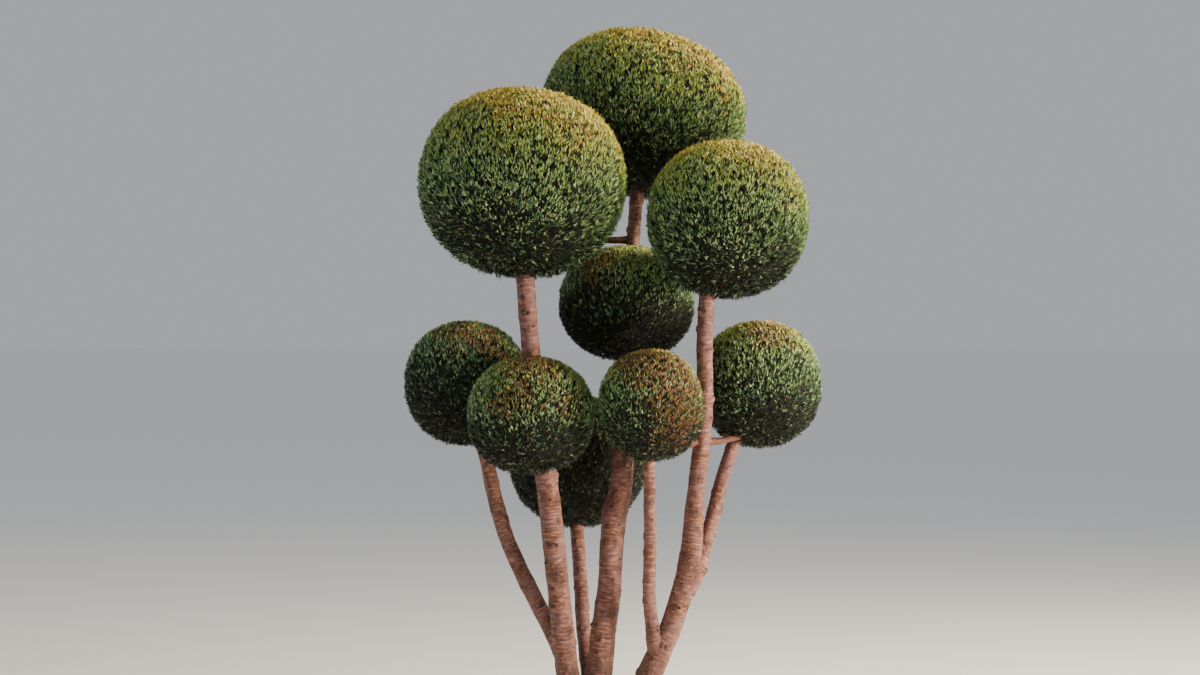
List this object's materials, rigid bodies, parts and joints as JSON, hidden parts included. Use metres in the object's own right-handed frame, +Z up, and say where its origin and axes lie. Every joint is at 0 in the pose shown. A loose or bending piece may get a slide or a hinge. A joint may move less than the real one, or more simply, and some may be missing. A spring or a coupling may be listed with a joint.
{
  "type": "multi-stem pompon topiary conifer",
  "caption": "Clipped conifer with bare curving stems that rise from one rooted foot and each carry rounded, close-clipped balls of small-leaved foliage.",
  "frame": {"origin": "middle of the flat cut under the trunk, at ground level", "axes": "+Z up, +X to the right and +Y away from the viewer in the picture's view"},
  "size_m": [1.1908, 1.0427, 2.1381],
  "materials": {
    "bark": "rough bark with fine rings and dark flecks",
    "young_bark": "smooth orange-brown bark of young wood",
    "foliage": "matt, dense, small evergreen sprays"
  },
  "bodies": {
    "root": {"trunk": "bark", "stem_front_left": "bark", "stem_centre": "bark", "stem_front_right": "bark", "stem_front_mid": "bark", "stem_right": "bark", "stem_rear_left": "bark", "stem_rear_low": "bark", "side_branch_upper": "young_bark", "side_branch_left": "young_bark", "side_branch_right": "young_bark", "ball_top": "foliage", "ball_upper_left": "foliage", "ball_upper_right": "foliage", "ball_centre": "foliage", "ball_rear_left": "foliage", "ball_front_left": "foliage", "ball_front_mid": "foliage", "ball_right": "foliage", "ball_rear_low": "foliage"}
  },
  "joints": []
}
